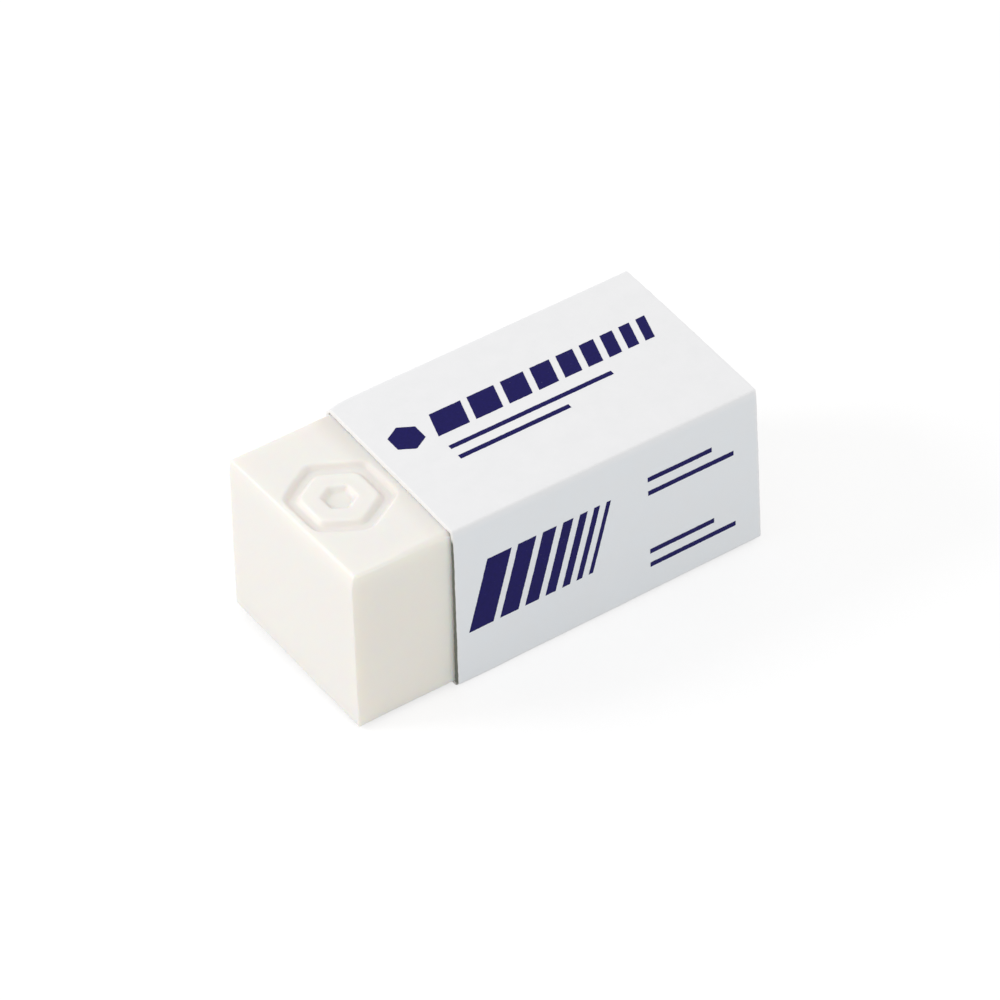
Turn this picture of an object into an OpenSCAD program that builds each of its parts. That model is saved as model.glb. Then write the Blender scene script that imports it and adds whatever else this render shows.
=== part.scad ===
// White vinyl eraser in a folded and glued card sleeve
// Millimetres. X runs along the block and its bare end points to -X, Z is up.
// The origin is at the bottom centre of the whole, on the desk under the sleeve.

/* [Block] */
// Length of the block
block_len = 33; // [26:0.5:60]
// Width of the block, across its broad face
block_w = 15; // [12:0.5:26]
// Height of the block as it lies
block_h = 13; // [8:0.5:20]
// Radius of the four long edges
long_edge_r = 0.4; // [0.2:0.1:1.5]
// Radius of the cut edges round both ends
end_edge_r = 0.15; // [0.1:0.05:0.3]
// Length left bare at the free end
bare_len = 7.8; // [4:0.1:12]

/* [Pressed mark] */
// Width of the hexagon ring pressed into the broad face, across its flats
mark_w = 6.8; // [4:0.2:7]
// Distance from the free end to the centre of the mark
mark_from_end = 4; // [3.8:0.1:6]
// Width of the ring's groove
groove_w = 0.9; // [0.4:0.1:1.2]
// Width of the small hexagon pit inside the ring, across its flats
pit_w = 2; // [0.8:0.1:2.2]
// Depth of the groove and of the pit
mark_depth = 0.3; // [0.1:0.05:0.6]

/* [Sleeve] */
// Thickness of the card
card_t = 0.25; // [0.2:0.05:0.5]
// Radius inside each fold
fold_r = 0.2; // [0.1:0.05:0.4]
// Running clearance under, over and behind the block
slide_gap = 0.05; // [0.02:0.01:0.2]
// Clearance between the block and the front panel
front_gap = 0.15; // [0.05:0.05:0.5]
// Length of card that stands past the back end of the block
back_lip = 0.1; // [0:0.1:1]
// Height of the glue flap that stands inside the rear panel
flap_h = 9; // [4:0.5:10]
// Slant at each end of the glue flap
flap_slant = 1.5; // [0.5:0.5:3]
// Thickness of the glue line between the flap and the rear panel
glue_gap = 0.03; // [0.02:0.01:0.1]
// Height of the rear panel's cut edge above the desk
rear_edge_z = 0.15; // [0.05:0.05:0.3]

/* [Print] */
// Thickness of the ink
ink_t = 0.02; // [0.01:0.01:0.05]
// Bare card kept round each printed face
print_margin = 0.8; // [0.4:0.1:2]
// Height of the bold row on the upper face
row_h = 2.3; // [1:0.1:3]
// Distance from the rear edge of the upper face to the bold row
row_from_rear = 5; // [2:0.1:7]
// Distance from the open edge to the middle of the hexagon dot
dot_from_open = 2.7; // [2:0.1:3.5]
// Distance from the open edge to the first bar of the bold row
row_from_open = 4.6; // [4.5:0.1:8]
// Width of the first bar of the bold row
row_bar_w = 2.6; // [1:0.1:3]
// Length of the upper of the two rules under the bold row
long_rule = 13.6; // [6:0.1:18]
// Length of the lower of the two rules under the bold row
short_rule = 9.2; // [4:0.1:18]
// Height of the stripes on the front panel
stripe_h = 5.6; // [3:0.1:6]
// Distance from the top edge of the front panel to the stripes
stripe_from_top = 3.6; // [1:0.1:5]
// Distance from the open edge to the first stripe
stripe_from_open = 1; // [0.8:0.1:4]
// Width of the first stripe
stripe_w = 2; // [0.8:0.1:2.4]
// Distance from the open edge to the notes, which are two pairs of rules
note_from_open = 16; // [12:0.1:20]
// Distance from the top edge of the front panel to the upper note
upper_note_drop = 3.2; // [1.5:0.1:4]
// Distance from the top edge of the front panel to the lower note
lower_note_drop = 9.6; // [6:0.1:11]
// Length of the first rule of a note
note_first = 5.4; // [2:0.1:8]
// Length of the second rule of a note
note_second = 7.2; // [2:0.1:8]
// Thickness of every rule
rule_t = 0.4; // [0.2:0.05:0.6]
// Distance from one rule to the next
rule_pitch = 1.2; // [0.8:0.1:2]
// Space between the bars of a row
bar_space = 0.55; // [0.3:0.05:1]

/* [Hidden] */
$fn = 64;

// Sleeve sizes that follow from the block, the card and the clearances
fold_out_r = fold_r + card_t;
sleeve_len = block_len - bare_len + back_lip;
sleeve_w = card_t + front_gap + block_w + slide_gap + card_t + glue_gap + card_t;
sleeve_h = card_t + slide_gap + block_h + slide_gap + card_t;

// Places along and across the whole
free_end_x = -(block_len + back_lip) / 2;
open_edge_x = free_end_x + bare_len;
front_y = -sleeve_w / 2;
rear_y = sleeve_w / 2;
block_front_y = front_y + card_t + front_gap;
block_floor_z = card_t + slide_gap;
flap_out_y = rear_y - card_t - glue_gap;
flap_top_z = min(flap_h, sleeve_h - 2 * fold_out_r);

// Printed bars: shift to +X for each unit of height, and how each row fades
bar_lean = 0.3;
row_bars = 9;
row_fade = 0.86;
stripes = 7;
stripe_fade = 0.75;
// How far a cutting solid reaches past what it cuts
past = 1;

// A rectangle from the origin with four round corners
module rounded_rect(w, h, r) {
    translate([r, 0]) square([w - 2 * r, h]);
    translate([0, r]) square([w, h - 2 * r]);
    for (x = [r, w - r], y = [r, h - r])
        translate([x, y]) circle(r = r);
}

// A flat shape drawn in Y and Z, drawn out along +X
module along_x(len) {
    rotate([90, 0, 90]) linear_extrude(len) children();
}

// The block before its mark: three profiles of it, each drawn out and crossed
module block_body() {
    translate([free_end_x, block_front_y, block_floor_z])
        intersection() {
            along_x(block_len) rounded_rect(block_w, block_h, long_edge_r);
            translate([0, block_w, 0]) rotate([90, 0, 0])
                linear_extrude(block_w) rounded_rect(block_len, block_h, end_edge_r);
            linear_extrude(block_h) rounded_rect(block_len, block_w, end_edge_r);
        }
}

// A hexagon with two flats square to X, given by its width across flats
module hexagon(flats) {
    rotate(30) circle(r = flats / 2 / cos(30), $fn = 6);
}

// The mark pressed into the upper face: a hexagon ring round a hexagon pit
module pressed_mark() {
    translate([
        free_end_x + mark_from_end,
        block_front_y + block_w / 2,
        block_floor_z + block_h - mark_depth
    ])
        linear_extrude(mark_depth + past) {
            difference() {
                hexagon(mark_w);
                hexagon(mark_w - 2 * groove_w);
            }
            hexagon(pit_w);
        }
}

// One quarter of a fold, centred at the origin, in the quadrant given by two signs
module fold(sy, sz) {
    intersection() {
        difference() {
            circle(r = fold_out_r);
            circle(r = fold_r);
        }
        translate([sy < 0 ? -fold_out_r : 0, sz < 0 ? -fold_out_r : 0])
            square(fold_out_r);
    }
}

// The card's section: rear panel, top, front, base and glue flap, with four folds
module card_section() {
    flap_in_y = flap_out_y - card_t;
    // rear panel, which ends in a cut edge just above the desk
    translate([rear_y - card_t, rear_edge_z])
        square([card_t, sleeve_h - fold_out_r - rear_edge_z]);
    translate([rear_y - fold_out_r, sleeve_h - fold_out_r]) fold(1, 1);
    // top
    translate([front_y + fold_out_r, sleeve_h - card_t])
        square([sleeve_w - 2 * fold_out_r, card_t]);
    translate([front_y + fold_out_r, sleeve_h - fold_out_r]) fold(-1, 1);
    // front panel
    translate([front_y, fold_out_r])
        square([card_t, sleeve_h - 2 * fold_out_r]);
    translate([front_y + fold_out_r, fold_out_r]) fold(-1, -1);
    // base
    translate([front_y + fold_out_r, 0])
        square([flap_out_y - front_y - 2 * fold_out_r, card_t]);
    translate([flap_out_y - fold_out_r, fold_out_r]) fold(1, -1);
    // glue flap inside the rear panel
    translate([flap_in_y, fold_out_r])
        square([card_t, flap_top_z - fold_out_r]);
}

// The wedge that slants one end of the glue flap, drawn for the open end
module flap_end_cut() {
    translate([0, flap_out_y + glue_gap / 2, 0]) rotate([90, 0, 0])
        linear_extrude(card_t + glue_gap)
            polygon([
                [-past, fold_out_r],
                [0, fold_out_r],
                [flap_slant, flap_top_z],
                [flap_slant, flap_top_z + glue_gap],
                [-past, flap_top_z + glue_gap]
            ]);
}

// A bar of one height that leans to +X, from its lower left corner
module leaning_bar(w, h) {
    polygon([[0, 0], [w, 0], [w + bar_lean * h, h], [bar_lean * h, h]]);
}

// Leaning bars side by side, each narrower than the last by one ratio
module fading_bars(count, first_w, ratio, h) {
    for (i = [0 : count - 1])
        translate([first_w * (1 - pow(ratio, i)) / (1 - ratio) + i * bar_space, 0])
            leaning_bar(first_w * pow(ratio, i), h);
}

// Two rules, one under the other, from the upper left corner of the first
module rule_pair(first, second) {
    translate([0, -rule_t]) square([first, rule_t]);
    translate([0, -rule_t - rule_pitch]) square([second, rule_t]);
}

// Print on the upper face, seen from above, from the open edge and the front edge
module top_print() {
    row_y = sleeve_w - row_from_rear - row_h;
    translate([dot_from_open, row_y + row_h / 2]) hexagon(row_h);
    translate([row_from_open, row_y])
        fading_bars(row_bars, row_bar_w, row_fade, row_h);
    translate([row_from_open, row_y - rule_pitch])
        rule_pair(long_rule, short_rule);
}

// Print on the front panel, seen from the front, from the open edge and the desk
module front_print() {
    translate([stripe_from_open, sleeve_h - stripe_from_top - stripe_h])
        fading_bars(stripes, stripe_w, stripe_fade, stripe_h);
    for (drop = [upper_note_drop, lower_note_drop])
        translate([note_from_open, sleeve_h - drop])
            rule_pair(note_first, note_second);
}

// The face that may be printed, drawn from the open edge and one long edge
module print_area(across) {
    translate([print_margin, print_margin])
        square([sleeve_len - 2 * print_margin, across - 2 * print_margin]);
}

module eraser_block() {
    color("ivory") difference() {
        block_body();
        pressed_mark();
    }
}

module card_sleeve() {
    color("white") translate([open_edge_x, 0, 0]) difference() {
        along_x(sleeve_len) card_section();
        flap_end_cut();
        translate([sleeve_len, 0, 0]) mirror([1, 0, 0]) flap_end_cut();
    }
}

module sleeve_print() {
    color("midnightblue") translate([open_edge_x, front_y, 0]) {
        translate([0, 0, sleeve_h]) linear_extrude(ink_t) intersection() {
            top_print();
            print_area(sleeve_w);
        }
        rotate([90, 0, 0]) linear_extrude(ink_t) intersection() {
            front_print();
            print_area(sleeve_h);
        }
    }
}

eraser_block();
card_sleeve();
sleeve_print();
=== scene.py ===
# White vinyl eraser in a folded card sleeve: the looks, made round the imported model.
# Sizes in the dictionaries are in millimetres and degrees unless a note says otherwise.
import math
import bpy
import numpy as np
from mathutils import Matrix, Vector


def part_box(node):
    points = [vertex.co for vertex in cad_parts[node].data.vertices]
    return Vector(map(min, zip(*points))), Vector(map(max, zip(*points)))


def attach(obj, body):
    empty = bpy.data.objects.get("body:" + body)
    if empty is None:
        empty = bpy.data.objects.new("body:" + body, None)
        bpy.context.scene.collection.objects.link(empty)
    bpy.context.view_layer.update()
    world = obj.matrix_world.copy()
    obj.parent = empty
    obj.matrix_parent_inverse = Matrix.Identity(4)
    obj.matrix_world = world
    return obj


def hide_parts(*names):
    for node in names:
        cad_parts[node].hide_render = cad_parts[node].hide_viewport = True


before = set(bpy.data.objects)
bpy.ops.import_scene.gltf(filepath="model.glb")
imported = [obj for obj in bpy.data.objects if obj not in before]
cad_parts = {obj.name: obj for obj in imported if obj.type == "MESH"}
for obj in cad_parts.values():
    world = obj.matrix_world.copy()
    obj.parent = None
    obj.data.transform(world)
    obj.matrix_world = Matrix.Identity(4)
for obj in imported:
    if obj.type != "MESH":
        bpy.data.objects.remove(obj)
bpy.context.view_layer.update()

mm = 0.001


def nodeCorners(node):
    # lowest and highest corner of a CAD node, in millimetres
    low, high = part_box(node)
    return np.array(low) / mm, np.array(high) / mm


def smoothStep(start, end, x):
    # 0 before start, 1 after end, and 3t^2 - 2t^3 between them
    t = np.clip((x - start) / (end - start), 0, 1)
    return t * t * (3 - 2 * t)


def unevenness(x, y, z, size, seed, waves=11):
    # a sum of sine waves, each about one size long and in its own fixed direction, mostly from -1 to 1
    draw = np.random.default_rng(seed)
    total = 0
    for _ in range(waves):
        way = draw.normal(size=3)
        way *= 2 * np.pi / size * draw.uniform(0.6, 1.7) / np.linalg.norm(way)
        total = total + np.sin(way[0] * x + way[1] * y + way[2] * z + draw.uniform(0, 2 * np.pi))
    return total / np.sqrt(waves)


def gridQuads(index, flip=False):
    # one quad for each cell of a 2-D array of point numbers
    corners = index[:-1, :-1], index[1:, :-1], index[1:, 1:], index[:-1, 1:]
    quads = np.stack(corners, axis=-1).reshape(-1, 4)
    return quads[:, ::-1] if flip else quads


def roundSide(half, out, radii, flats, steps):
    # one side of a round-cornered rectangle, from -half to half, standing off by out: the second half of
    # the corner before it, the flat with its given stations, and the first half of the corner after it
    turn = np.radians(np.linspace(45, 90, steps + 1))
    back = turn[::-1]
    before, after = radii
    u = np.concatenate([before * (1 - np.cos(turn)) - half, flats, half - after * (1 - np.cos(back))])
    v = np.concatenate([out - before * (1 - np.sin(turn)), 0 * flats + out, out - after * (1 - np.sin(back))])
    nu = np.concatenate([-np.cos(turn), 0 * flats, np.cos(back)])
    nv = np.concatenate([np.sin(turn), 0 * flats + 1, np.sin(back)])
    return u, v, nu, nv


def roundRing(halfU, halfV, radii, flatsU, flatsV, steps):
    # the whole rectangle as a closed ring with outward normals, and no corner point twice; the radii are
    # those of the lower left, lower right, upper right and upper left corners
    lowLeft, lowRight, highRight, highLeft = radii
    au, av, anu, anv = roundSide(halfU, halfV, (lowLeft, lowRight), flatsU, steps)
    bu, bv, bnu, bnv = roundSide(halfV, halfU, (lowRight, highRight), flatsV, steps)
    cu, cv, cnu, cnv = roundSide(halfU, halfV, (highLeft, highRight), flatsU, steps)
    du, dv, dnu, dnv = roundSide(halfV, halfU, (lowLeft, highLeft), flatsV, steps)
    sides = (
        (au, -av, anu, -anv),
        (bv, bu, bnv, bnu),
        (cu[::-1], cv[::-1], cnu[::-1], cnv[::-1]),
        (-dv[::-1], du[::-1], -dnv[::-1], dnu[::-1]),
    )
    ring = np.concatenate([np.stack(side)[:, :-1] for side in sides], axis=1)
    return ring, len(au), len(bu)


def cornerShift(x, y, z, low, high, shifts):
    # how far each point moves when the eight corners of its box move by the given shifts: the shifts,
    # ordered by X, Y and Z end, are blended in proportion along all three ways
    shares = [(place - a) / (b - a) for place, a, b in zip((x, y, z), low, high)]
    alongX, alongY, alongZ = (np.stack([1 - share, share]) for share in shares)
    weights = alongX[:, None, None] * alongY[None, :, None] * alongZ[None, None]
    return np.einsum("ijkn,ijkm->mn", weights, np.array(shifts).reshape(2, 2, 2, 3))


def capIndex(ring, countU, countV, firstFree):
    # point numbers of the grid that closes a ring: its border is the ring, its inside is new
    index = np.zeros((countU, countV), int)
    index[1:-1, 1:-1] = firstFree + np.arange((countU - 2) * (countV - 2)).reshape(countU - 2, countV - 2)
    loop = np.append(ring, ring[0])
    a, b = countU - 1, countV - 1
    index[:, 0] = loop[: a + 1]
    index[-1, :] = loop[a : a + b + 1]
    index[:, -1] = loop[a + b : 2 * a + b + 1][::-1]
    index[0, :] = loop[2 * a + b :][::-1]
    return index


def capPoints(points, index):
    # points inside a cap: each is blended from the four borders, less the blend of the four corners
    u = np.linspace(0, 1, index.shape[0])[1:-1, None, None]
    v = np.linspace(0, 1, index.shape[1])[None, 1:-1, None]
    low, high = points[index[1:-1, 0]][:, None], points[index[1:-1, -1]][:, None]
    left, right = points[index[0, 1:-1]][None], points[index[-1, 1:-1]][None]
    c00, c10 = points[index[0, 0]], points[index[-1, 0]]
    c01, c11 = points[index[0, -1]], points[index[-1, -1]]
    sides = (1 - v) * low + v * high + (1 - u) * left + u * right
    corners = (1 - u) * (1 - v) * c00 + u * (1 - v) * c10 + (1 - u) * v * c01 + u * v * c11
    return (sides - corners).reshape(-1, points.shape[1])


def sweepRing(rings, countU, countV):
    # a closed skin: the rings, given as stations x points x values, joined in turn, and a cap at each end
    stations, around, values = rings.shape
    points = rings.reshape(-1, values)
    index = np.arange(stations * around).reshape(stations, around)
    tube = np.concatenate([index, index[:, :1]], axis=1)
    quads = [gridQuads(tube, True)]
    for ring, flip in ((index[0], True), (index[-1], False)):
        cap = capIndex(ring, countU, countV, len(points))
        points = np.concatenate([points, capPoints(points, cap)])
        quads.append(gridQuads(cap, flip))
    return points, np.concatenate(quads)


def buildPiece(name, points, quads, marks, material, body, node):
    # a mesh from arrays, with its marks as point attributes, riding on a body in a node's place
    mesh = bpy.data.meshes.new(name)
    mesh.from_pydata((points * mm).tolist(), [], quads.tolist())
    for key, values in marks.items():
        mesh.attributes.new(key, "FLOAT", "POINT").data.foreach_set("value", values.astype(np.float32))
    mesh.shade_smooth()
    mesh.materials.append(material)
    piece = bpy.data.objects.new(name, mesh)
    bpy.context.scene.collection.objects.link(piece)
    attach(piece, body)
    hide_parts(node)
    print("made", name, "with", len(points), "points and", len(quads), "faces")
    return piece


# Nodes

def put(tree, kind, inputs=None, **settings):
    # a new node: inputs take a value or the socket that feeds them
    node = tree.nodes.new(kind)
    for key, value in settings.items():
        setattr(node, key, value)
    for key, value in (inputs or {}).items():
        if isinstance(value, bpy.types.NodeSocket):
            tree.links.new(value, node.inputs[key])
        else:
            node.inputs[key].default_value = value
    return node


def makeGroup(name, inputs, outputs):
    # an empty node group with named sockets; inputs are (name, value), outputs are names
    group = bpy.data.node_groups.new(name, "ShaderNodeTree")
    for key, value in inputs:
        kind = "NodeSocketVector" if value is None else "NodeSocketFloat"
        socket = group.interface.new_socket(name=key, in_out="INPUT", socket_type=kind)
        if value is not None:
            socket.default_value = value
    for key in outputs:
        group.interface.new_socket(name=key, in_out="OUTPUT", socket_type="NodeSocketFloat")
    return group, group.nodes.new("NodeGroupInput").outputs, group.nodes.new("NodeGroupOutput").inputs


def maths(tree, operation, *values):
    # the result of a Math node
    return put(tree, "ShaderNodeMath", dict(enumerate(values)), operation=operation).outputs[0]


def noiseField(group, given, scale, detail, roughness=0.5):
    # a noise over a group's Vector
    return put(group, "ShaderNodeTexNoise", {
        "Vector": given["Vector"], "Scale": scale, "Detail": detail, "Roughness": roughness,
    }).outputs["Fac"]


def makeMottle():
    # broad soft blotches: two noises, one three times finer, mixed and drawn out by Contrast round 0.5
    group, given, result = makeGroup(
        "softMottle", [("Vector", None), ("Size", 1.0), ("Contrast", 1.0)], ["Fac"]
    )
    scale = maths(group, "DIVIDE", 1 / mm, given["Size"])
    broad = noiseField(group, given, scale, 2.0)
    small = noiseField(group, given, maths(group, "MULTIPLY", scale, 3.1), 3.0)
    both = maths(group, "ADD", broad, maths(group, "MULTIPLY_ADD", small, 0.4, -0.2))
    centred = maths(group, "SUBTRACT", both, 0.5)
    drawn = maths(group, "MULTIPLY_ADD", centred, given["Contrast"], 0.5)
    clamp = put(group, "ShaderNodeClamp", {"Value": drawn})
    group.links.new(clamp.outputs[0], result["Fac"])
    return group


def makeGrain():
    # fine surface grain as a height: a rough noise
    group, given, result = makeGroup(
        "fineGrain", [("Vector", None), ("Size", 0.1), ("Roughness", 0.6)], ["Height"]
    )
    scale = maths(group, "DIVIDE", 1 / mm, given["Size"])
    group.links.new(noiseField(group, given, scale, 4.0, given["Roughness"]), result["Height"])
    return group


def makeFlecks():
    # stray round flecks: a cell whose random value is under Share holds one fleck, up to Radius times
    # the cell in size, which fades over the outer part of that radius
    group, given, result = makeGroup(
        "strayFlecks", [("Vector", None), ("Spacing", 1.0), ("Radius", 0.1), ("Share", 0.3)], ["Mask"]
    )
    scale = maths(group, "DIVIDE", 1 / mm, given["Spacing"])
    cells = put(group, "ShaderNodeTexVoronoi", {"Vector": given["Vector"], "Scale": scale}).outputs
    chance = put(group, "ShaderNodeSeparateColor", {"Color": cells["Color"]}).outputs
    chosen = maths(group, "LESS_THAN", chance[0], given["Share"])
    outer = maths(group, "MULTIPLY", chance[1], given["Radius"])
    inner = maths(group, "MULTIPLY", outer, 0.6)
    spot = put(group, "ShaderNodeMapRange", {
        "Value": cells["Distance"], "From Min": inner, "From Max": outer, "To Min": 1.0, "To Max": 0.0,
    })
    group.links.new(maths(group, "MULTIPLY", spot.outputs[0], chosen), result["Mask"])
    return group


def makeRub():
    # rubbed edges: where Edge plus a noise passes a threshold, softened, times Amount
    group, given, result = makeGroup(
        "edgeRub", [("Vector", None), ("Edge", 0.0), ("Size", 0.5), ("Amount", 1.0)], ["Mask"]
    )
    scale = maths(group, "DIVIDE", 1 / mm, given["Size"])
    added = maths(group, "ADD", given["Edge"], noiseField(group, given, scale, 4.0))
    mask = put(group, "ShaderNodeMapRange", {"Value": added, "From Min": 0.9, "From Max": 1.35})
    group.links.new(maths(group, "MULTIPLY", mask.outputs[0], given["Amount"]), result["Mask"])
    return group


softMottle, fineGrain, strayFlecks, edgeRub = makeMottle(), makeGrain(), makeFlecks(), makeRub()
print("node groups made")


def startMaterial(name, settings):
    # a material with its Principled shader's plain settings, and the Object coordinates
    material = bpy.data.materials.new(name)
    material.use_nodes = True
    tree = material.node_tree
    shader = tree.nodes["Principled BSDF"]
    for key, value in settings.items():
        shader.inputs[key].default_value = value
    return material, tree, shader, tree.nodes.new("ShaderNodeTexCoord").outputs["Object"]


def fillGroup(tree, group, inputs):
    # what a placed node group puts out
    return put(tree, "ShaderNodeGroup", inputs, node_tree=group).outputs[0]


def attribute(tree, name):
    # one of the marks that a piece's points carry
    return put(tree, "ShaderNodeAttribute", attribute_name=name).outputs["Fac"]


def mixColour(tree, share, first, second):
    # first where share is 0, second where it is 1
    node = tree.nodes.new("ShaderNodeMix")
    node.data_type = "RGBA"
    for socket, value in ((node.inputs[0], share), (node.inputs[6], first), (node.inputs[7], second)):
        if isinstance(value, bpy.types.NodeSocket):
            tree.links.new(value, socket)
        else:
            socket.default_value = (*value, 1) if socket.type == "RGBA" else value
    return node.outputs[2]


def dimmed(tree, share, colour, factors):
    # a colour, and the same times one factor for each channel where share is 1
    tint = mixColour(tree, share, (1, 1, 1), factors)
    return put(tree, "ShaderNodeVectorMath", {0: colour, 1: tint}, operation="MULTIPLY").outputs[0]


def span(tree, value, low, high):
    # a value from 0 to 1, carried to the span from low to high
    return put(tree, "ShaderNodeMapRange", {"Value": value, "To Min": low, "To Max": high}).outputs[0]


def roughen(tree, shader, height, depth, strength):
    # a bump on a shader's normal, its depth in millimetres
    bump = put(tree, "ShaderNodeBump", {"Height": height, "Distance": depth * mm, "Strength": strength})
    tree.links.new(bump.outputs[0], shader.inputs["Normal"])


# Block

block = {
    # radii of the near lower, far lower, far upper and near upper edges: at the free end, and where the
    # card's edge has rubbed the block, from a little way behind the free end on
    "edges": (0.10, 0.18, 0.15, 0.22),
    "wornEdges": (0.10, 0.18, 0.15, 0.46),
    "wornFrom": 1.0,
    "endEdge": 0.09,
    "bareLength": 7.8,
    # how far the knife drew in the top of the free end, and how much more at the near side, and how far
    # down and along the block that reaches
    "drawn": (0.15, 0.26),
    "drawnReach": (0.35, 2.0),
    "dent": (0.09, 2.0, 1.3),  # the near long edge's dent: depth, distance from the card, half its length
    "worn": (0.03, 0.14, 0.6),  # and its wear: all along, more at the free end's corner, and over what length
    "wornReach": 1.0,  # how far down the side dent and wear reach
    "sag": 0.012,  # how far the moulded faces of the bare end sink here and there
    "sagSize": 9.0,
    "sagFade": 3.0,  # distance from the card over which that stops
    # how far the corners lie from square: near low, near high, far low and far high, at the free end and
    # at the back end
    "shifts": (
        (-0.06, -0.12, -0.22), (-0.09, -0.04, 0), (-0.06, 0, 0.25), (0, 0, 0.01),
        (0, 0, 0), (0, 0, 0), (0, 0, 0), (0, 0, 0),
    ),
    "markFromEnd": 4.0,
    "markWidth": 6.8,
    "grooveWidth": 0.9,
    "pitWidth": 2.0,
    "markDepth": 0.34,
    "markSlope": 0.46,  # width of the soft side of a groove
    "markLip": 0.008,
}

vinyl = {
    "pale": (0.925, 0.898, 0.855),
    "warm": (0.905, 0.872, 0.820),
    "fleck": (0.62, 0.60, 0.57),
    # painted shade tones: the sides warmer and the cut end darker than the upper face
    "side": (0.930, 0.885, 0.808),
    "end": (0.888, 0.858, 0.815),
    "mottleSize": 2.6,
    "warmShare": 0.35,
    "fleckShare": 0.5,
    "roughness": (0.42, 0.56),
    "grainSize": 0.11,
    "grainDepth": 0.004,
    "rubAndPaintedLight": (0.990, 0.940, 0.860),  # painted light: lighter vinyl along the near long edge and beside the card's edge
    "paintedLightReach": 0.9,  # how far down the side that painted light goes
    "paintedLightByCard": (0.9, 0.6),  # how much of it lies along the card's edge, and over what length it fades
    # how much light is given back, against the plain face, where shade is painted: a painted shadow beside the
    # card's edge, painted shade on the floor of the mark and on the sides of its grooves, and painted shade
    # that dims the light on the cut edges round both ends
    "cardShade": (0.875, 0.857, 0.845),
    # painted shade in the mark: on its floor, and on the sides of its grooves
    "pressed": (0.988, 0.978, 0.978),
    "grooveWallShade": (0.945, 0.930, 0.928),
    # painted shade that dims the light on the cut edges round both ends
    "edge": (0.968, 0.965, 0.962),
    "cardShadeReach": (1.8, 0.3),  # how far before and behind the card's edge the bare end passes into the painted shadow
    "sideCardShade": 4.0,  # and over what length the sides do, behind it
    "nearCardShade": 0.65,  # the share of it on the near side, against the far side
    "shadeDropInside": (0.7, 1.0, 7.0),  # the share of the painted shadow that is missing deeper inside, and from where to where it goes
    "subsurface": 0.75,
    "subsurfaceReach": (0.75, 0.56, 0.38),
}


def hexDistance(x, y, power=16):
    # distance from the middle measured square to a hexagon's flats, with its corners softened:
    # the three pairs of flats' distances joined by a high power mean
    pairs = np.stack([x, x / 2 + y * np.sqrt(0.75), x / 2 - y * np.sqrt(0.75)])
    return (np.abs(pairs) ** power).sum(axis=0) ** (1 / power)


def pressedDepth(x, y):
    # depth of the mark: a hexagon groove and a pit with soft sides, and a low lip beside the groove
    soft = block["markSlope"] / 2
    distance = hexDistance(x, y)
    middle = (block["markWidth"] - block["grooveWidth"]) / 2
    fromGroove = np.abs(distance - middle) - block["grooveWidth"] / 2
    fromPit = distance - block["pitWidth"] / 2
    pressed = 1 - smoothStep(-soft, soft, np.minimum(fromGroove, fromPit))
    lip = np.exp(-(((np.minimum(fromGroove, fromPit) - 1.5 * soft) / soft) ** 2))
    return block["markDepth"] * pressed - block["markLip"] * lip


def makeVinyl():
    # pale vinyl with painted shade tones on the sides and the cut end, warm blotches, the marks of the block's
    # points laid over it in turn, stray flecks and a fine grain
    material, tree, shader, place = startMaterial("whiteVinyl", {
        "Subsurface Weight": vinyl["subsurface"],
        "Subsurface Radius": vinyl["subsurfaceReach"],
        "Subsurface Scale": mm,
        "IOR": 1.5,
    })
    mottle = fillGroup(tree, softMottle, {"Vector": place, "Size": vinyl["mottleSize"], "Contrast": 1.6})
    flecks = fillGroup(tree, strayFlecks, {"Vector": place, "Spacing": 0.9, "Radius": 0.07, "Share": 0.2})
    # painted shade tones on the sides and the cut end
    body = mixColour(tree, attribute(tree, "side"), vinyl["pale"], vinyl["side"])
    body = mixColour(tree, attribute(tree, "end"), body, vinyl["end"])
    body = mixColour(tree, span(tree, mottle, 0.0, vinyl["warmShare"]), body, vinyl["warm"])
    # painted light along the near long edge and beside the card's edge
    body = mixColour(tree, attribute(tree, "rubAndPaintedLight"), body, vinyl["rubAndPaintedLight"])
    # painted shade laid over the colour: the card's shadow, the mark's floor and groove walls, and the cut rims
    for mark in ("cardShade", "pressed", "grooveWallShade", "edge"):
        body = dimmed(tree, attribute(tree, mark), body, vinyl[mark])
    faint = maths(tree, "MULTIPLY", flecks, vinyl["fleckShare"])
    tree.links.new(mixColour(tree, faint, body, vinyl["fleck"]), shader.inputs["Base Color"])
    tree.links.new(span(tree, mottle, *vinyl["roughness"]), shader.inputs["Roughness"])
    grain = fillGroup(tree, fineGrain, {"Vector": place, "Size": vinyl["grainSize"]})
    roughen(tree, shader, grain, vinyl["grainDepth"], 0.6)
    return material


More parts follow.
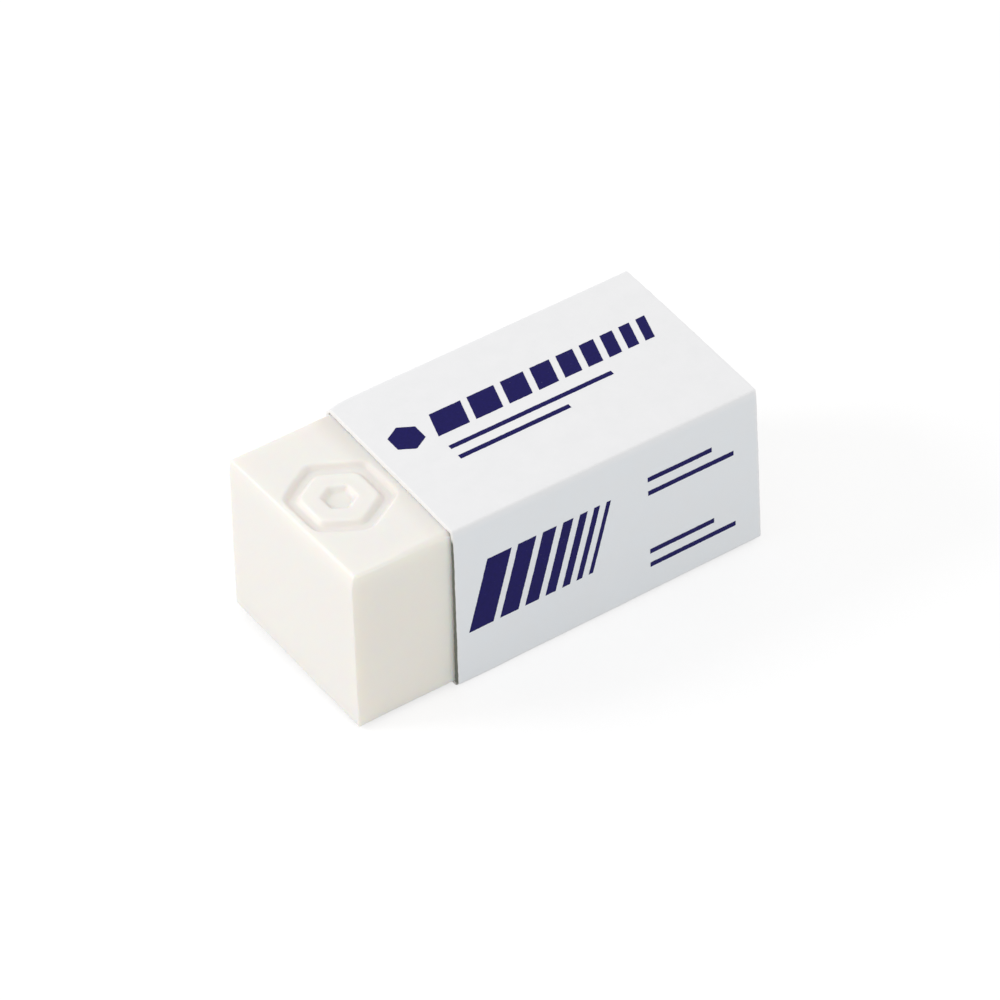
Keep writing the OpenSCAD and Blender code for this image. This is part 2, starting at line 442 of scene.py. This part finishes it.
def blockSkin(low, high):
    # the block's section, a round-cornered rectangle in Y and Z, carried along X; near each end it is
    # drawn in by r(1 - cos) while X goes by r sin, which rounds the cut edges
    middle, half = (low + high) / 2, (high - low) / 2
    openEdge = low[0] + block["bareLength"]
    reach, rim = max(block["wornEdges"]), block["endEdge"]
    markReach = block["markWidth"] * 0.6  # half the width that the finer grid under the mark has
    flatY, flatZ = half[1] - reach, half[2] - reach
    acrossY = np.concatenate([
        np.linspace(-flatY, -markReach, 10)[1:],
        np.linspace(-markReach, markReach, 100)[1:-1],
        np.linspace(markReach, flatY, 10)[:-1],
    ])
    acrossZ = np.linspace(-flatZ, flatZ, 26)[1:-1]
    ring, countU, countV = roundRing(half[1], half[2], block["edges"], acrossY, acrossZ, 6)
    wornRing = roundRing(half[1], half[2], block["wornEdges"], acrossY, acrossZ, 6)[0]

    turn = np.radians(np.linspace(0, 90, 7))
    back = turn[::-1]
    stations = np.concatenate([
        low[0] + rim * (1 - np.sin(back)),
        np.linspace(low[0] + rim, openEdge, 88)[1:],
        np.linspace(openEdge, high[0] - rim, 28)[1:-1],
        high[0] - rim * (1 - np.sin(turn)),
    ])
    level = np.zeros(len(stations) - 2 * len(turn))
    drawnIn = np.concatenate([rim * (1 - np.cos(back)), level, rim * (1 - np.cos(turn))])[:, None]
    rimShare = np.concatenate([np.sin(2 * back), level, np.sin(2 * turn)])[:, None]
    facing = np.concatenate([np.cos(back), level + 1, np.cos(turn)])[:, None]

    wear = smoothStep(low[0] + block["wornFrom"], openEdge, stations)[:, None]
    u, v, nu, nv = ring
    u, v = u + wear * (wornRing[0] - u), v + wear * (wornRing[1] - v)
    x, y, z = stations[:, None] + 0 * u, u - nu * drawnIn + middle[1], v - nv * drawnIn + middle[2]
    # the cut rims round both ends, where painted shade dims the light
    edge = rimShare + 0 * x
    side = 1 - np.clip(nv, 0, 1) + 0 * x
    end = 1 - facing + 0 * x
    upper = (nv > 0.999) + 0 * x
    points, quads = sweepRing(np.stack([x, y, z, edge, side, end, upper], axis=-1), countU, countV)
    points[x.size:, 5] = 1
    return points, quads


def makeBlock():
    # the skin, then the mark pressed into it, its corners shifted, its top drawn in at the free end, its
    # moulded faces sunk, and its near long edge worn and dented; the marks say where each has been
    low, high = nodeCorners("eraser_block")
    middle, half = (low + high) / 2, (high - low) / 2
    openEdge = low[0] + block["bareLength"]
    points, quads = blockSkin(low, high)
    x, y, z, edge, side, end, upper = points.T
    outY, outZ = (y - middle[1]) / half[1], (z - middle[2]) / half[2]
    far = (y - low[1]) / (high[1] - low[1])
    fromTop, fromEnd = z - high[2], x - low[0]

    markDrop = upper * pressedDepth(x - (low[0] + block["markFromEnd"]), y - middle[1])
    shiftX, shiftY, shiftZ = cornerShift(x, y, z, low, high, block["shifts"])
    drawn, drawnMore = block["drawn"]
    downReach, alongReach = block["drawnReach"]
    draw = (drawn + drawnMore * (1 - far)) * np.exp(fromTop / downReach)
    draw = draw * np.clip(1 - fromEnd / alongReach, 0, 1)
    sunk = unevenness(x, y, z, block["sagSize"], 3) ** 2 * block["sag"]
    sunk = sunk * (1 - smoothStep(openEdge - block["sagFade"], openEdge, x))
    # each face moves whole, and what lies inside it moves less and less
    shiftY = shiftY - sunk * smoothStep(0.8, 1, np.abs(outY)) * np.sign(outY)
    shiftZ = shiftZ - sunk * smoothStep(0.8, 1, np.abs(outZ)) * np.sign(outZ)
    dent, dentPlace, dentHalf = block["dent"]
    worn, atCorner, cornerReach = block["worn"]
    drawnBack = worn + atCorner * np.exp(-fromEnd / cornerReach)
    drawnBack = drawnBack + dent * np.exp(-((x - openEdge + dentPlace) / dentHalf) ** 2)
    shiftY = shiftY + drawnBack * np.exp(fromTop / block["wornReach"]) * smoothStep(0.85, 1, -outY)

    # painted light on the near side: lighter under the upper edge, and along the card's edge where the card's
    # shade falls
    share, length = vinyl["paintedLightByCard"]
    paintedLightByCard = share * np.exp(-np.abs(x - openEdge) / length)
    rubAndPaintedLight = np.maximum(np.exp(fromTop / vinyl["paintedLightReach"]), paintedLightByCard)
    rubAndPaintedLight = rubAndPaintedLight * side * (outY < 0) * (1 - end)
    # painted shadow of the card on the block: darker from a little before the card's edge on, later on the
    # sides, lighter on the near side, and fading again deeper inside
    before, behind = vinyl["cardShadeReach"]
    nearCardShade, (shadeDropInside, cleanFrom, cleanTo) = vinyl["nearCardShade"], vinyl["shadeDropInside"]
    cardShade = smoothStep(openEdge - before, openEdge + behind, x)
    cardShade = cardShade * (1 - side * (1 - smoothStep(openEdge, openEdge + vinyl["sideCardShade"], x)))
    cardShade = cardShade * (nearCardShade + (1 - nearCardShade) * far)
    cardShade = cardShade * (1 - shadeDropInside * smoothStep(openEdge + cleanFrom, openEdge + cleanTo, x))
    # painted shade in the mark: its floor by how far it is pressed in, its groove walls most at mid-wall
    pressed = np.clip(markDrop / block["markDepth"], 0, 1)
    marks = {
        "edge": edge, "side": side, "end": end, "rubAndPaintedLight": rubAndPaintedLight,
        "cardShade": cardShade, "pressed": pressed, "grooveWallShade": 4 * pressed * (1 - pressed),
    }
    points = np.stack([x + shiftX + draw, y + shiftY, z + shiftZ - markDrop], axis=-1)
    return buildPiece("eraserBlock", points, quads, marks, makeVinyl(), "block", "eraser_block")


makeBlock()

# Sleeve

sleeveLow, sleeveHigh = nodeCorners("card_sleeve")

sleeve = {
    "openEdge": sleeveLow[0],
    "length": sleeveHigh[0] - sleeveLow[0],
    "height": sleeveHigh[2],
    "halfWidth": sleeveHigh[1],
    "cardThick": 0.25,
    "foldInside": 0.2,
    "leastInside": 0.04,  # radius left inside the sharper fold
    "rearEdgeZ": 0.15,
    "glueGap": 0.03,
    "flapTop": 9.0,
    "flapSlant": 1.5,
    "cutRound": 0.035,
    "frontFold": 0.13,  # outer radius of the sharper fold along the front of the upper face
    "topSlope": 0.05,  # how far the upper panel's inner side stands past its printed side at the cut edges
    # how far the cut edge of the open end swells in: upper, front high, front low and rear panel, then
    # inside the sharper fold and beside the rear one, and over what length
    "burr": (0.034, 0.020, 0.200, 0.2),
    "foldFill": (0.055, 0.18),
    "rearFillFrom": (7.54, 7.9),  # where across the upper panel the last of these starts and is whole
    "burrReach": 0.5,
    "shadedFrom": (0.75, 1.05),  # how far down the front panel the painted shadow on its cut edge starts, and is whole
    "rubReach": 0.25,  # how far from its cut ends the card's face is rubbed
    "fray": (0.012, 0.5),  # how far the cut edge's fibres stand out, and their size
    "creaseLean": 0.06,  # how far the front panel leans in beside its upper fold
    "creaseReach": 0.35,
    # how far the corners lie from square: front low, front high, rear low and rear high, at the open end
    # and at the far end
    "shifts": (
        (-0.06, -0.17, -0.20), (0.04, 0.06, -0.005), (0.20, 0, 0), (0.49, 0, 0.01),
        (0.19, 0.05, -0.04), (-0.24, 0.06, -0.015), (0.10, 0, 0), (0.15, 0, -0.01),
    ),
    "topBow": 0.05,
    "frontBow": 0.04,
    "ripple": (0.006, 5.0, 3.0),  # depth, size, and distance from the open edge at which it is whole
    # dents of the open end's corners at the high rear and the low front fold, how far along the sleeve they
    # reach, and how far round each fold
    "pushedIn": (0.20, 0.12, 0.6),
    "pushedRound": (0.7, 0.6),
}
sleeve["flapOutY"] = sleeve["halfWidth"] - sleeve["cardThick"] - sleeve["glueGap"]

card = {
    "coated": (0.905, 0.903, 0.911),
    # painted shade: the upright panels darker and cooler than the upper face
    "side": (0.827, 0.861, 0.892),
    "coatedShade": (0.845, 0.850, 0.858),
    "core": (0.87, 0.868, 0.862),
    "coreFibre": (0.82, 0.80, 0.77),
    "frontCutShadow": (0.175, 0.185, 0.16),  # painted shadow: the front panel's cut edge, dark where the gap beside the block lies in shade
    "inside": (0.76, 0.74, 0.69),
    # the card's worn coating at its folds and cut ends, real wear
    "rubAndPaintedLight": (0.90, 0.90, 0.905),
    "fleck": (0.55, 0.52, 0.47),
    "shadeShare": 0.5,
    "roughness": (0.4, 0.85),  # of the coated face and of bare card
    "grainDepth": 0.006,
}


def sleevePath():
    # the card's outer and inner lines in Y and Z, from the rear panel's cut edge over the top, down the
    # front, along the base and up the glue flap: straight runs, and quarter circles at the folds
    thick, wide, high = sleeve["cardThick"], sleeve["halfWidth"], sleeve["height"]
    soft, sharp, cut = sleeve["foldInside"] + thick, sleeve["frontFold"], sleeve["cutRound"]
    turn = np.radians(np.linspace(0, 90, 7))
    runs = []

    def add(outY, outZ, inY, inZ, fold, drawn):
        runs.append(np.stack(np.broadcast_arrays(outY, outZ, inY, inZ, fold, drawn)))

    def line(start, end, normal, count):
        t = np.linspace(0, 1, count + 2)[1:-1]
        y, z = start[0] + (end[0] - start[0]) * t, start[1] + (end[1] - start[1]) * t
        add(y, z, y - normal[0] * thick, z - normal[1] * thick, 0, 0)

    def fold(cornerY, cornerZ, sideY, sideZ, first, outer):
        # outer and inner quarter circles in the same corner, whose sides face sideY and sideZ
        inner = max(outer - thick, sleeve["leastInside"])
        a = np.radians(np.linspace(first, first + 90, 11))
        centre = outer, thick + inner
        add(
            cornerY - sideY * centre[0] + outer * np.cos(a), cornerZ - sideZ * centre[0] + outer * np.sin(a),
            cornerY - sideY * centre[1] + inner * np.cos(a), cornerZ - sideZ * centre[1] + inner * np.sin(a),
            np.sin(2 * (a - a[0])), 0,
        )

    rise = sleeve["rearEdgeZ"] + cut * (1 - np.sin(turn[::-1]))
    add(wide, rise, wide - thick, rise, 0, cut * (1 - np.cos(turn[::-1])))
    line((wide, sleeve["rearEdgeZ"] + cut), (wide, high - soft), (1, 0), 24)
    fold(wide, high, 1, 1, 0, soft)
    line((wide - soft, high), (-wide + soft, high), (0, 1), 44)
    fold(-wide, high, -1, 1, 90, sharp)
    line((-wide, high - soft), (-wide, soft), (-1, 0), 60)
    fold(-wide, 0, -1, -1, 180, soft)
    line((-wide + soft, 0), (sleeve["flapOutY"] - soft, 0), (0, -1), 24)
    fold(sleeve["flapOutY"], 0, 1, -1, 270, soft)
    line((sleeve["flapOutY"], soft), (sleeve["flapOutY"], sleeve["flapTop"] - cut), (1, 0), 16)
    top = sleeve["flapTop"] - cut * (1 - np.sin(turn))
    add(sleeve["flapOutY"], top, sleeve["flapOutY"] - thick, top, 0, cut * (1 - np.cos(turn)))
    return np.concatenate(runs, axis=1)


def sleeveForm(x, y, z):
    # how the made-up sleeve departs from its drawn form: its corners are shifted, the front panel leans
    # in beside the upper fold, and the two printed panels bow out a little between their folds
    high, wide = sleeve["height"], sleeve["halfWidth"]
    low, far = (sleeve["openEdge"], -wide, 0), (sleeve["openEdge"] + sleeve["length"], wide, high)
    shiftX, shiftY, shiftZ = cornerShift(x, y, z, low, far, sleeve["shifts"])
    atFront, atTop = smoothStep(0.9, 1, -y / wide), smoothStep(0.9, 1, z / high)
    lean = sleeve["creaseLean"] * np.exp((z - high) / sleeve["creaseReach"]) * atFront
    frontBow = sleeve["frontBow"] * np.sin(np.pi * np.clip(z / high, 0, 1)) * atFront
    topBow = sleeve["topBow"] * np.clip(1 - (y / wide) ** 2, 0, 1) * atTop
    depth, size, whole = sleeve["ripple"]
    wavy = unevenness(x, y, z, size, 8) * depth * smoothStep(0, whole, x - sleeve["openEdge"])
    rearDent, frontDent, reach = sleeve["pushedIn"]
    rear, front = sleeve["pushedRound"]
    atCorner = np.exp(-np.clip(x - sleeve["openEdge"], 0, None) / reach)
    rearDent = rearDent * atCorner * smoothStep(wide - rear, wide, y) * smoothStep(high - rear, high, z)
    frontDent = frontDent * atCorner * smoothStep(wide - front, wide, -y) * (1 - smoothStep(0, front, z))
    y = y + shiftY + lean - frontBow - wavy * atFront - rearDent
    return x + shiftX, y, z + shiftZ + topBow + wavy * atTop - rearDent + frontDent


def makeCard():
    # coated card with painted shade on the upright panels, faint blotches and worn edges; the bare inside and
    # the fibrous core lie under it, chosen by the depth and by where the card is cut, with a painted shadow on
    # the front panel's cut edge
    material, tree, shader, place = startMaterial("coatedCard", {"IOR": 1.5})
    mottle = fillGroup(tree, softMottle, {"Vector": place, "Size": 1.4, "Contrast": 1.4})
    rub = fillGroup(tree, edgeRub, {
        "Vector": place, "Edge": attribute(tree, "edge"), "Size": 0.35, "Amount": 0.8,
    })
    flecks = fillGroup(tree, strayFlecks, {"Vector": place, "Spacing": 0.5, "Radius": 0.12, "Share": 0.3})
    fibre = fillGroup(tree, fineGrain, {"Vector": place, "Size": 0.07, "Roughness": 0.7})
    # painted shade on the upright panels
    coated = mixColour(tree, attribute(tree, "side"), card["coated"], card["side"])
    coated = mixColour(tree, maths(tree, "MULTIPLY", mottle, card["shadeShare"]), coated, card["coatedShade"])
    coated = mixColour(tree, rub, coated, card["rubAndPaintedLight"])
    inside = mixColour(tree, flecks, card["inside"], card["fleck"])
    core = mixColour(tree, fibre, card["core"], card["coreFibre"])
    # painted shadow on the front panel's cut edge
    core = mixColour(tree, attribute(tree, "shade"), core, card["frontCutShadow"])
    isInside, isCut = (
        put(tree, "ShaderNodeMapRange", {
            "Value": attribute(tree, mark), "From Min": a, "From Max": b,
        }).outputs[0]
        for mark, a, b in (("depth", 0.9, 0.99), ("cut", 0.5, 0.9))
    )
    colour = mixColour(tree, isInside, coated, inside)
    colour = mixColour(tree, isCut, colour, core)
    tree.links.new(colour, shader.inputs["Base Color"])
    raw = maths(tree, "MAXIMUM", isInside, isCut)
    tree.links.new(span(tree, raw, *card["roughness"]), shader.inputs["Roughness"])
    roughen(tree, shader, fibre, card["grainDepth"], 0.5)
    return material


def makeSleeve():
    # the card's long thin section in X and thickness, a rectangle with barely rounded cut edges, carried
    # along the folded line; the glue flap's ends slant in as it rises, and the open end's cut edge swells
    # in by exp(-distance / reach)
    outY, outZ, inY, inZ, fold, drawn = sleevePath()[:, :, None]
    thick, long, cut = sleeve["cardThick"], sleeve["length"], sleeve["cutRound"]
    nearEnd = np.array([0.1, 0.25, 0.45, 0.7, 1.0]) - long / 2  # closer stations, where the cut edge swells
    flatX = np.concatenate([nearEnd, np.linspace(1.0 - long / 2, long / 2 - 1.0, 60)[1:-1], -nearEnd[::-1]])
    throughCard = np.linspace(-1, 1, 5) * (thick / 2 - 1.5 * cut)
    ring, countU, countV = roundRing(long / 2, thick / 2, (1.2 * cut,) * 4, flatX, throughCard, 3)
    around, through, faceX, faceThrough = ring
    u, v = around - faceX * drawn, through - faceThrough * drawn
    deep = 0.5 - v / thick

    soft = sleeve["foldInside"] + thick
    isFlap = np.arange(len(fold))[:, None] > np.flatnonzero(fold)[-1]
    slant = isFlap * sleeve["flapSlant"] * (outZ - soft) / (sleeve["flapTop"] - soft)
    isFront = (inY - outY) / thick * (outY < 0)
    isTop = (outZ - inZ) / thick * (outZ > sleeve["height"] / 2)
    short = slant - isTop * sleeve["topSlope"] * deep
    x = sleeve["openEdge"] + long / 2 + u * (1 - 2 * short / long)
    swollen = deep * np.exp((-around - long / 2) / sleeve["burrReach"])
    topBurr, highBurr, lowBurr, rearBurr = (swollen * burr for burr in sleeve["burr"])
    frontFill, rearFill = (swollen * fill for fill in sleeve["foldFill"])
    topBurr = topBurr + swollen * sleeve["topBow"] * np.clip(1 - (outY / sleeve["halfWidth"]) ** 2, 0, 1)
    topBurr = topBurr + rearFill * smoothStep(*sleeve["rearFillFrom"], outY)
    fill = frontFill * fold * (outY < 0) * (outZ > sleeve["height"] / 2)
    isRear = (outY - inY) / thick * smoothStep(sleeve["flapOutY"], sleeve["halfWidth"], outY)
    y = outY + (inY - outY) * deep - rearBurr * isRear
    y = y + isFront * (lowBurr + (highBurr - lowBurr) * outZ / sleeve["height"]) + fill
    z = outZ + (inZ - outZ) * deep - topBurr * isTop - fill
    atCut = np.abs(faceX) + 0 * u
    # painted shadow on the front panel's cut edge, from a little below the upper fold down
    shade = isFront * smoothStep(*sleeve["shadedFrom"], sleeve["height"] - outZ) + 0 * u
    edge = np.maximum(fold, np.exp((np.abs(around) - long / 2) / sleeve["rubReach"]))
    side = 1 - np.clip(np.abs(inZ - outZ) / thick, 0, 1) + 0 * u
    points, quads = sweepRing(np.stack([x, y, z, deep, atCut, edge, side, shade], axis=-1), countU, countV)
    points[x.size:, 4] = 1

    x, y, z, deep, atCut, edge, side, shade = points.T
    depth, size = sleeve["fray"]
    fray = unevenness(x, y * 3, z * 3, size, 5) * depth * (atCut > 0.5)
    points = np.stack(sleeveForm(x + fray, y, z), axis=-1)
    marks = {"edge": edge, "depth": deep, "cut": atCut, "side": side, "shade": shade}
    return buildPiece("cardSleeve", points, quads, marks, makeCard(), "sleeve", "card_sleeve")


makeSleeve()

# Print

printed = {
    "inkThick": 0.012,
    "sunk": 0.004,  # how far the slab's underside lies in the card
    "ragged": (0.007, 0.35),  # how far its outline strays, and the size of that
    "step": 0.1,
    "lean": 0.3,
    "barSpace": 0.55,
    "dotFromOpen": 2.7,
    "rowFromOpen": 4.6,
    "rowFromRear": 5.0,
    "rowHeight": 2.3,
    "rowBars": 9,
    "rowBarWidth": 2.6,
    "rowFade": 0.86,
    "ruleThick": 0.4,
    "rulePitch": 1.2,
    "longRule": 13.6,
    "shortRule": 9.2,
    "stripeFromOpen": 1.0,
    "stripeFromTop": 3.6,
    "stripeHeight": 5.6,
    "stripes": 7,
    "stripeWidth": 2.0,
    "stripeFade": 0.75,
    "noteFromOpen": 16.0,
    "noteDrops": (3.2, 9.6),
    "noteRules": (5.4, 7.2),
}

ink = {
    "deep": (0.005, 0.003, 0.078),
    "light": (0.010, 0.007, 0.108),
    "worn": (0.20, 0.20, 0.34),
    "wornShare": 0.35,
    "roughness": (0.38, 0.55),
    "grainDepth": 0.003,
}


def leaningBar(u, v, x, y, width, height, lean):
    # a bar from its lower left corner: across by u, up by v, and over to +X as it rises
    return x + u * width + v * lean * height, y + v * height


def hexagonDot(u, v, x, y, width):
    # a hexagon about its middle: across by u, and up by v times the height that it has there
    across = (u - 0.5) * width
    return x + across, y + (v - 0.5) * 2 * (width - np.abs(across)) / np.sqrt(3)


def fadingBars(count, first, ratio, x, y, height):
    # bars side by side, each ratio times the width of the one before
    widths = first * ratio ** np.arange(count)
    starts = x + np.concatenate([[0], np.cumsum(widths + printed["barSpace"])[:-1]])
    return [("bar", a, y, w, height, printed["lean"]) for a, w in zip(starts, widths)]


def rulePair(x, top, lengths):
    # two rules, one under the other, from the upper left corner of the first
    thick, pitch = printed["ruleThick"], printed["rulePitch"]
    return [("bar", x, top - thick - k * pitch, length, thick, 0) for k, length in enumerate(lengths)]


def printedSlab(shape, onPanel):
    # one printed shape as a thin closed slab: the same grid on top and under the card's face, and a wall
    kind, x, y, width, *rest = shape
    height = rest[0] if rest else width
    u = np.linspace(0, 1, max(3, int(width / printed["step"])))[:, None]
    v = np.linspace(0, 1, max(3, int(height / printed["step"])))[None, :]
    a, b = leaningBar(u, v, x, y, width, *rest) if kind == "bar" else hexagonDot(u, v, x, y, width)
    a, b = a + 0 * b, b + 0 * a
    stray, size = printed["ragged"]
    a, b = a + unevenness(a, b, 0, size, 21) * stray, b + unevenness(a, b, 9, size, 22) * stray
    top, under = onPanel(a, b, printed["inkThick"]), onPanel(a, b, -printed["sunk"])
    count = a.size
    index = np.arange(count).reshape(a.shape)
    ring = np.concatenate([index[:-1, 0], index[-1, :-1], index[:0:-1, -1], index[0, ::-1]])
    wall = np.stack([ring, ring + count], axis=1)
    quads = [gridQuads(index), gridQuads(index + count, True), gridQuads(wall, True)]
    return np.concatenate([top, under]), np.concatenate(quads)


def onTop(a, b, lift):
    # a point on the upper face, from the open edge and the front edge
    wide, high = sleeve["halfWidth"], sleeve["height"]
    x, y, z = sleeveForm(*(k.ravel() for k in (a + sleeve["openEdge"], b - wide, high + 0 * a)))
    return np.stack([x, y, z + lift], axis=-1)


def onFront(a, b, lift):
    # a point on the front panel, from the open edge and the desk
    wide = sleeve["halfWidth"]
    x, y, z = sleeveForm(*(k.ravel() for k in (a + sleeve["openEdge"], -wide + 0 * a, b)))
    return np.stack([x, y - lift, z], axis=-1)


def makeInk():
    # navy between two depths of colour, with stray worn flecks and a fine grain
    material, tree, shader, place = startMaterial("navyInk", {"Specular IOR Level": 0.1})
    mottle = fillGroup(tree, softMottle, {"Vector": place, "Size": 0.22, "Contrast": 2.2})
    flecks = fillGroup(tree, strayFlecks, {"Vector": place, "Spacing": 0.16, "Radius": 0.28, "Share": 0.12})
    body = mixColour(tree, mottle, ink["deep"], ink["light"])
    faint = maths(tree, "MULTIPLY", flecks, ink["wornShare"])
    tree.links.new(mixColour(tree, faint, body, ink["worn"]), shader.inputs["Base Color"])
    tree.links.new(span(tree, mottle, *ink["roughness"]), shader.inputs["Roughness"])
    grain = fillGroup(tree, fineGrain, {"Vector": place, "Size": 0.07})
    roughen(tree, shader, grain, ink["grainDepth"], 0.5)
    return material


def makePrint():
    # every printed shape, laid on its panel, as one piece
    rowX, rowHeight, pitch = printed["rowFromOpen"], printed["rowHeight"], printed["rulePitch"]
    rowY = 2 * sleeve["halfWidth"] - printed["rowFromRear"] - rowHeight
    stripeHeight = printed["stripeHeight"]
    stripeZ = sleeve["height"] - printed["stripeFromTop"] - stripeHeight
    upper = [("dot", printed["dotFromOpen"], rowY + rowHeight / 2, rowHeight)]
    upper += fadingBars(printed["rowBars"], printed["rowBarWidth"], printed["rowFade"], rowX, rowY, rowHeight)
    upper += rulePair(rowX, rowY - pitch, (printed["longRule"], printed["shortRule"]))
    front = fadingBars(
        printed["stripes"], printed["stripeWidth"], printed["stripeFade"],
        printed["stripeFromOpen"], stripeZ, stripeHeight,
    )
    for drop in printed["noteDrops"]:
        front += rulePair(printed["noteFromOpen"], sleeve["height"] - drop, printed["noteRules"])
    slabs = [printedSlab(shape, onTop) for shape in upper] + [printedSlab(shape, onFront) for shape in front]
    firsts = np.concatenate([[0], np.cumsum([len(points) for points, _ in slabs])[:-1]])
    points = np.concatenate([points for points, _ in slabs])
    quads = np.concatenate([quads + first for (_, quads), first in zip(slabs, firsts)])
    piece = buildPiece("sleevePrint", points, quads, {}, makeInk(), "sleeve", "sleeve_print")
    piece.data.set_sharp_from_angle(angle=math.radians(40))
    return piece


makePrint()

# Stage, light and camera

studio = {
    "floorSize": 4000.0,
    "floorLevel": -0.21,
    "floorColour": (0.70, 0.70, 0.70),
    "shadowShare": 0.40,  # how much of the floor that the camera sees is lit, and so takes a shadow
    "floorWhite": 1.06,  # what an unshaded floor gives back in all
    "sky": 0.73,
    "lamps": (
        # name, azimuth, elevation, distance, size, watts
        ("rearSoftbox", -122, 30, 420, 180, 0.70),
        ("frontSoftbox", 14, 20, 420, 240, 0.22),
    ),
}

camera = {
    "aim": (0.21, -0.33, 6.61),
    "azimuth": -33.68,
    "elevation": 40.78,
    "roll": -1.63,
    "distance": 502.8,
    "lens": 265.0,
}


def bearing(azimuth, elevation):
    # the way from the object to a place at an azimuth, with 0 in front and 90 to the right, and an elevation
    a, e = math.radians(azimuth), math.radians(elevation)
    return Vector((math.sin(a) * math.cos(e), -math.cos(a) * math.cos(e), math.sin(e)))


def seenDirectly(tree):
    # 1 for camera, glossy and transmission rays
    light = tree.nodes.new("ShaderNodeLightPath").outputs
    both = maths(tree, "MAXIMUM", light["Is Camera Ray"], light["Is Glossy Ray"])
    return maths(tree, "MAXIMUM", both, light["Is Transmission Ray"])


def makeFloor():
    # one square that lights the object as a pale floor, and that the camera sees as white with a soft shadow
    half, level = studio["floorSize"] / 2, studio["floorLevel"]
    corners = np.array([(-half, -half, level), (half, -half, level), (half, half, level), (-half, half, level)])
    mesh = bpy.data.meshes.new("studioFloor")
    mesh.from_pydata((corners * mm).tolist(), [], [(0, 1, 2, 3)])
    material = bpy.data.materials.new("paleFloor")
    material.use_nodes = True
    tree = material.node_tree
    tree.nodes.clear()
    share = studio["shadowShare"]
    plain = put(tree, "ShaderNodeBsdfDiffuse", {"Color": (*studio["floorColour"], 1)})
    lit = put(tree, "ShaderNodeBsdfDiffuse", {"Color": (share, share, share, 1)})
    glow = put(tree, "ShaderNodeEmission", {"Color": (1, 1, 1, 1), "Strength": studio["floorWhite"] - share})
    both = put(tree, "ShaderNodeAddShader", {0: lit.outputs[0], 1: glow.outputs[0]})
    mixed = put(tree, "ShaderNodeMixShader", {0: seenDirectly(tree), 1: plain.outputs[0], 2: both.outputs[0]})
    put(tree, "ShaderNodeOutputMaterial", {"Surface": mixed.outputs[0]})
    mesh.materials.append(material)
    floor = bpy.data.objects.new("studioFloor", mesh)
    bpy.context.scene.collection.objects.link(floor)


def makeWorld():
    # an even sky that lights the object, seen as plain white
    world = bpy.data.worlds.new("studioSky")
    bpy.context.scene.world = world
    world.use_nodes = True
    tree = world.node_tree
    tree.nodes.clear()
    sky, white = (
        put(tree, "ShaderNodeBackground", {"Color": (1, 1, 1, 1), "Strength": strength})
        for strength in (studio["sky"], 1.0)
    )
    mixed = put(tree, "ShaderNodeMixShader", {0: seenDirectly(tree), 1: sky.outputs[0], 2: white.outputs[0]})
    put(tree, "ShaderNodeOutputWorld", {"Surface": mixed.outputs[0]})


def makeLamps():
    # round soft lamps, each set at its bearing and turned to the object
    aim = Vector(camera["aim"]) * mm
    for name, azimuth, elevation, distance, size, watts in studio["lamps"]:
        light = bpy.data.lights.new(name, "AREA")
        light.shape, light.size, light.energy = "DISK", size * mm, watts
        lamp = bpy.data.objects.new(name, light)
        lamp.location = aim + bearing(azimuth, elevation) * distance * mm
        lamp.rotation_euler = (aim - lamp.location).to_track_quat("-Z", "Y").to_euler()
        bpy.context.scene.collection.objects.link(lamp)


def makeCamera():
    # a long lens, set back from its aim at its bearing, turned to the aim and then rolled
    lens = bpy.data.cameras.new("studioCamera")
    lens.lens, lens.sensor_width = camera["lens"], 36.0
    lens.clip_start, lens.clip_end = 0.01, 20.0
    back = bearing(camera["azimuth"], camera["elevation"])
    place = Vector(camera["aim"]) * mm + back * camera["distance"] * mm
    turn = (-back).to_track_quat("-Z", "Y").to_matrix().to_4x4()
    roll = Matrix.Rotation(math.radians(camera["roll"]), 4, "Z")
    holder = bpy.data.objects.new("studioCamera", lens)
    holder.matrix_world = Matrix.Translation(place) @ turn @ roll
    bpy.context.scene.collection.objects.link(holder)
    bpy.context.scene.camera = holder


makeFloor()
makeWorld()
makeLamps()
makeCamera()
bpy.context.scene.view_settings.view_transform = "Standard"
print("stage, lamps and camera placed")
